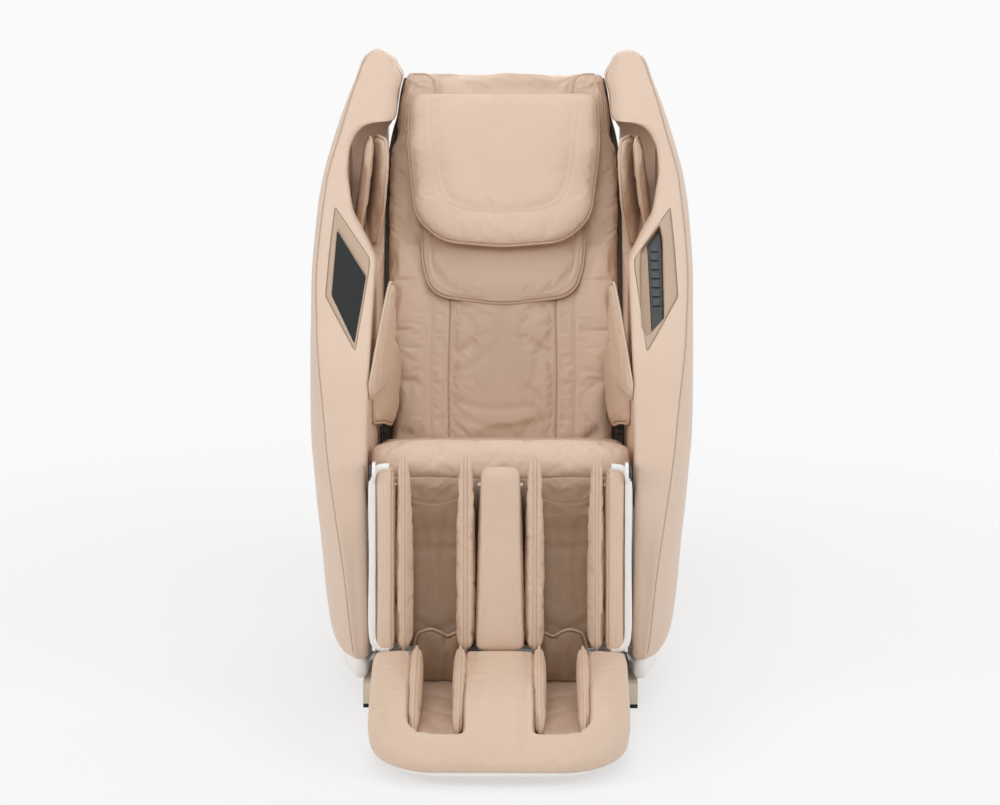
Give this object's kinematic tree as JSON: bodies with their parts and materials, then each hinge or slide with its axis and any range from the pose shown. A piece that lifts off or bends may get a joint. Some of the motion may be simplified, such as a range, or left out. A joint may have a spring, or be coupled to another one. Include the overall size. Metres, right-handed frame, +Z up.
{
  "type": "massage chair",
  "caption": "Full-body massage chair with tall padded side shells, head pillow, reclining back, calf and foot wells, arm touch panel and remote.",
  "frame": {"origin": "on the floor, under the middle of the chair's width; the floor is z = 0", "axes": "+Z up, the sitter faces -Y; left and right in names are as seen from the front, so left is -X; millimetres in the source"},
  "size_m": [0.7796, 1.4186, 1.172],
  "materials": {
    "frame_steel": "satin",
    "bare_steel": "satin",
    "pump_alloy": "cast",
    "beige_leather": "soft grain",
    "white_shell": "gloss",
    "rose_trim": "satin",
    "dark_panel": "high gloss",
    "black_plastic": "matt",
    "key_plastic": "matt",
    "tan_liner": "matt",
    "black_rubber": "matt",
    "roller_rubber": "matt"
  },
  "bodies": {
    "base": {"base_frame": "frame_steel", "floor_pads": "black_rubber", "control_box": "black_plastic", "air_pump": "pump_alloy"},
    "left_wheel_body": {"left_wheel": "black_rubber"},
    "right_wheel_body": {"right_wheel": "black_rubber"},
    "rocker_body": {"power_rocker": "black_plastic"},
    "chassis": {"seat_frame": "frame_steel", "seat_cushion": "beige_leather", "left_side_shell": "beige_leather", "right_side_shell": "beige_leather", "side_skirts": "white_shell", "left_bezel": "rose_trim", "touch_panel": "dark_panel", "right_bezel": "rose_trim", "remote_pocket": "tan_liner", "left_shoulder_pads": "beige_leather", "right_shoulder_pads": "beige_leather", "left_arm_pads": "beige_leather", "right_arm_pads": "beige_leather"},
    "backrest": {"back_frame": "frame_steel", "guide_rails": "bare_steel", "back_shell": "white_shell", "back_cushion": "beige_leather"},
    "pillow_flap": {"head_pillow": "beige_leather", "back_pad": "beige_leather"},
    "carriage": {"carriage_frame": "bare_steel", "knead_motor": "black_plastic"},
    "shaft_body": {"knead_shaft": "bare_steel"},
    "left_arm_body": {"left_massage_arm": "frame_steel"},
    "right_arm_body": {"right_massage_arm": "frame_steel"},
    "left_upper_roller_body": {"left_upper_roller": "roller_rubber"},
    "left_lower_roller_body": {"left_lower_roller": "roller_rubber"},
    "right_upper_roller_body": {"right_upper_roller": "roller_rubber"},
    "right_lower_roller_body": {"right_lower_roller": "roller_rubber"},
    "leg_rest": {"calf_housing": "white_shell", "calf_left_block": "beige_leather", "calf_centre_block": "beige_leather", "calf_right_block": "beige_leather", "calf_pads": "beige_leather", "calf_fins": "beige_leather"},
    "foot_rest": {"foot_housing": "white_shell", "foot_cover": "beige_leather", "sole_pads": "beige_leather", "foot_fins": "beige_leather", "slide_rods": "bare_steel"},
    "tilt_tube_body": {"tilt_tube": "frame_steel"},
    "tilt_rod_body": {"tilt_rod": "bare_steel"},
    "recline_tube_body": {"recline_tube": "frame_steel"},
    "recline_rod_body": {"recline_rod": "bare_steel"},
    "leg_tube_body": {"leg_tube": "frame_steel"},
    "leg_rod_body": {"leg_rod": "bare_steel"},
    "remote": {"remote_control": "black_plastic"},
    "key_power_body": {"key_power": "key_plastic"},
    "key_program_body": {"key_program": "key_plastic"},
    "key_strength_body": {"key_strength": "key_plastic"},
    "key_heat_body": {"key_heat": "key_plastic"},
    "key_air_body": {"key_air": "key_plastic"},
    "key_up_body": {"key_up": "key_plastic"},
    "key_down_body": {"key_down": "key_plastic"}
  },
  "joints": [
    {"name": "seat_tilt", "type": "hinge", "parent": "base", "child": "chassis", "pos_m": [0, 0.19, 0.24], "axis": [-1, 0, 0], "range_deg": [0, 20]},
    {"name": "back_recline", "type": "hinge", "parent": "chassis", "child": "backrest", "pos_m": [0, 0.207, 0.37], "axis": [-1, 0, 0], "range_deg": [0, 35]},
    {"name": "legrest_lift", "type": "hinge", "parent": "chassis", "child": "leg_rest", "pos_m": [0, -0.316, 0.47], "axis": [-1, 0, 0], "range_deg": [0, 80]},
    {"name": "foot_extend", "type": "slide", "parent": "leg_rest", "child": "foot_rest", "axis": [0, -0.1942, -0.981], "range_m": [0, 0.12]},
    {"name": "massage_travel", "type": "slide", "parent": "backrest", "child": "carriage", "axis": [0, 0.5358, 0.8443], "range_m": [0, 0.36]},
    {"name": "knead_spin", "type": "hinge", "parent": "carriage", "child": "shaft_body", "pos_m": [0, 0.353, 0.51422], "axis": [1, 0, 0], "continuous": true},
    {"name": "left_arm_swing", "type": "hinge", "parent": "carriage", "child": "left_arm_body", "pos_m": [-0.062, 0.353, 0.51422], "axis": [-1, 0, 0], "range_deg": [-5, 5], "stiffness_Nm_per_rad": 12},
    {"name": "left_upper_roller_spin", "type": "hinge", "parent": "left_arm_body", "child": "left_upper_roller_body", "pos_m": [-0.081, 0.36934, 0.57728], "axis": [1, 0, 0], "continuous": true},
    {"name": "left_lower_roller_spin", "type": "hinge", "parent": "left_arm_body", "child": "left_lower_roller_body", "pos_m": [-0.081, 0.3029, 0.47259], "axis": [1, 0, 0], "continuous": true},
    {"name": "right_arm_swing", "type": "hinge", "parent": "carriage", "child": "right_arm_body", "pos_m": [0.062, 0.353, 0.51422], "axis": [-1, 0, 0], "range_deg": [-5, 5], "stiffness_Nm_per_rad": 12},
    {"name": "right_upper_roller_spin", "type": "hinge", "parent": "right_arm_body", "child": "right_upper_roller_body", "pos_m": [0.081, 0.36934, 0.57728], "axis": [1, 0, 0], "continuous": true},
    {"name": "right_lower_roller_spin", "type": "hinge", "parent": "right_arm_body", "child": "right_lower_roller_body", "pos_m": [0.081, 0.3029, 0.47259], "axis": [1, 0, 0], "continuous": true},
    {"name": "left_wheel_spin", "type": "hinge", "parent": "base", "child": "left_wheel_body", "pos_m": [-0.2295, 0.408, 0.042], "axis": [1, 0, 0], "continuous": true},
    {"name": "right_wheel_spin", "type": "hinge", "parent": "base", "child": "right_wheel_body", "pos_m": [0.2295, 0.408, 0.042], "axis": [1, 0, 0], "continuous": true},
    {"name": "pillow_flip", "type": "hinge", "parent": "backrest", "child": "pillow_flap", "pos_m": [0, 0.56032, 1.06485], "axis": [-1, 0, 0], "range_deg": [0, 90]},
    {"name": "remote_lift", "type": "slide", "parent": "chassis", "child": "remote", "axis": [0, -0.5388, 0.8425], "range_m": [0, 0.06]},
    {"name": "key_power_press", "type": "slide", "parent": "remote", "child": "key_power_body", "axis": [0, 0.5388, -0.8425], "range_m": [0, 0.001], "stiffness_N_per_m": 400, "springref_m": -0.001},
    {"name": "key_program_press", "type": "slide", "parent": "remote", "child": "key_program_body", "axis": [0, 0.5388, -0.8425], "range_m": [0, 0.001], "stiffness_N_per_m": 400, "springref_m": -0.001},
    {"name": "key_strength_press", "type": "slide", "parent": "remote", "child": "key_strength_body", "axis": [0, 0.5388, -0.8425], "range_m": [0, 0.001], "stiffness_N_per_m": 400, "springref_m": -0.001},
    {"name": "key_heat_press", "type": "slide", "parent": "remote", "child": "key_heat_body", "axis": [0, 0.5388, -0.8425], "range_m": [0, 0.001], "stiffness_N_per_m": 400, "springref_m": -0.001},
    {"name": "key_air_press", "type": "slide", "parent": "remote", "child": "key_air_body", "axis": [0, 0.5388, -0.8425], "range_m": [0, 0.001], "stiffness_N_per_m": 400, "springref_m": -0.001},
    {"name": "key_up_press", "type": "slide", "parent": "remote", "child": "key_up_body", "axis": [0, 0.5388, -0.8425], "range_m": [0, 0.001], "stiffness_N_per_m": 400, "springref_m": -0.001},
    {"name": "key_down_press", "type": "slide", "parent": "remote", "child": "key_down_body", "axis": [0, 0.5388, -0.8425], "range_m": [0, 0.001], "stiffness_N_per_m": 400, "springref_m": -0.001},
    {"name": "rocker_switch", "type": "hinge", "parent": "base", "child": "rocker_body", "pos_m": [0.07, 0.414, 0.092], "axis": [1, 0, 0], "range_deg": [-8, 8]},
    {"name": "tilt_tube_swing", "type": "hinge", "parent": "base", "child": "tilt_tube_body", "pos_m": [-0.06, -0.186, 0.066], "axis": [-1, 0, 0], "range_deg": [0, 8.36]},
    {"name": "tilt_rod_slide", "type": "slide", "parent": "tilt_tube_body", "child": "tilt_rod_body", "axis": [0, 0, 1], "range_m": [0, 0.127]},
    {"name": "recline_tube_swing", "type": "hinge", "parent": "chassis", "child": "recline_tube_body", "pos_m": [0.07, -0.11, 0.2834], "axis": [-1, 0, 0], "range_deg": [0, 2.47]},
    {"name": "recline_rod_slide", "type": "slide", "parent": "recline_tube_body", "child": "recline_rod_body", "axis": [0, -1, 0], "range_m": [0, 0.0589]},
    {"name": "leg_tube_swing", "type": "hinge", "parent": "chassis", "child": "leg_tube_body", "pos_m": [0, 0.11, 0.262], "axis": [-1, 0, 0], "range_deg": [-7.53, 0]},
    {"name": "leg_rod_slide", "type": "slide", "parent": "leg_tube_body", "child": "leg_rod_body", "axis": [0, -0.9658, 0.2593], "range_m": [0, 0.215]}
  ],
  "couplings": [
    {"joint": "foot_extend", "follows": "legrest_lift", "m_per_rad": 0.085935},
    {"joint": "tilt_tube_swing", "follows": "seat_tilt", "ratio": 0.41534},
    {"joint": "tilt_rod_slide", "follows": "seat_tilt", "m_per_rad": 0.36246},
    {"joint": "recline_tube_swing", "follows": "back_recline", "ratio": 0.06908},
    {"joint": "recline_rod_slide", "follows": "back_recline", "m_per_rad": 0.095669},
    {"joint": "leg_tube_swing", "follows": "legrest_lift", "ratio": -0.09344},
    {"joint": "leg_rod_slide", "follows": "legrest_lift", "m_per_rad": 0.15365}
  ]
}
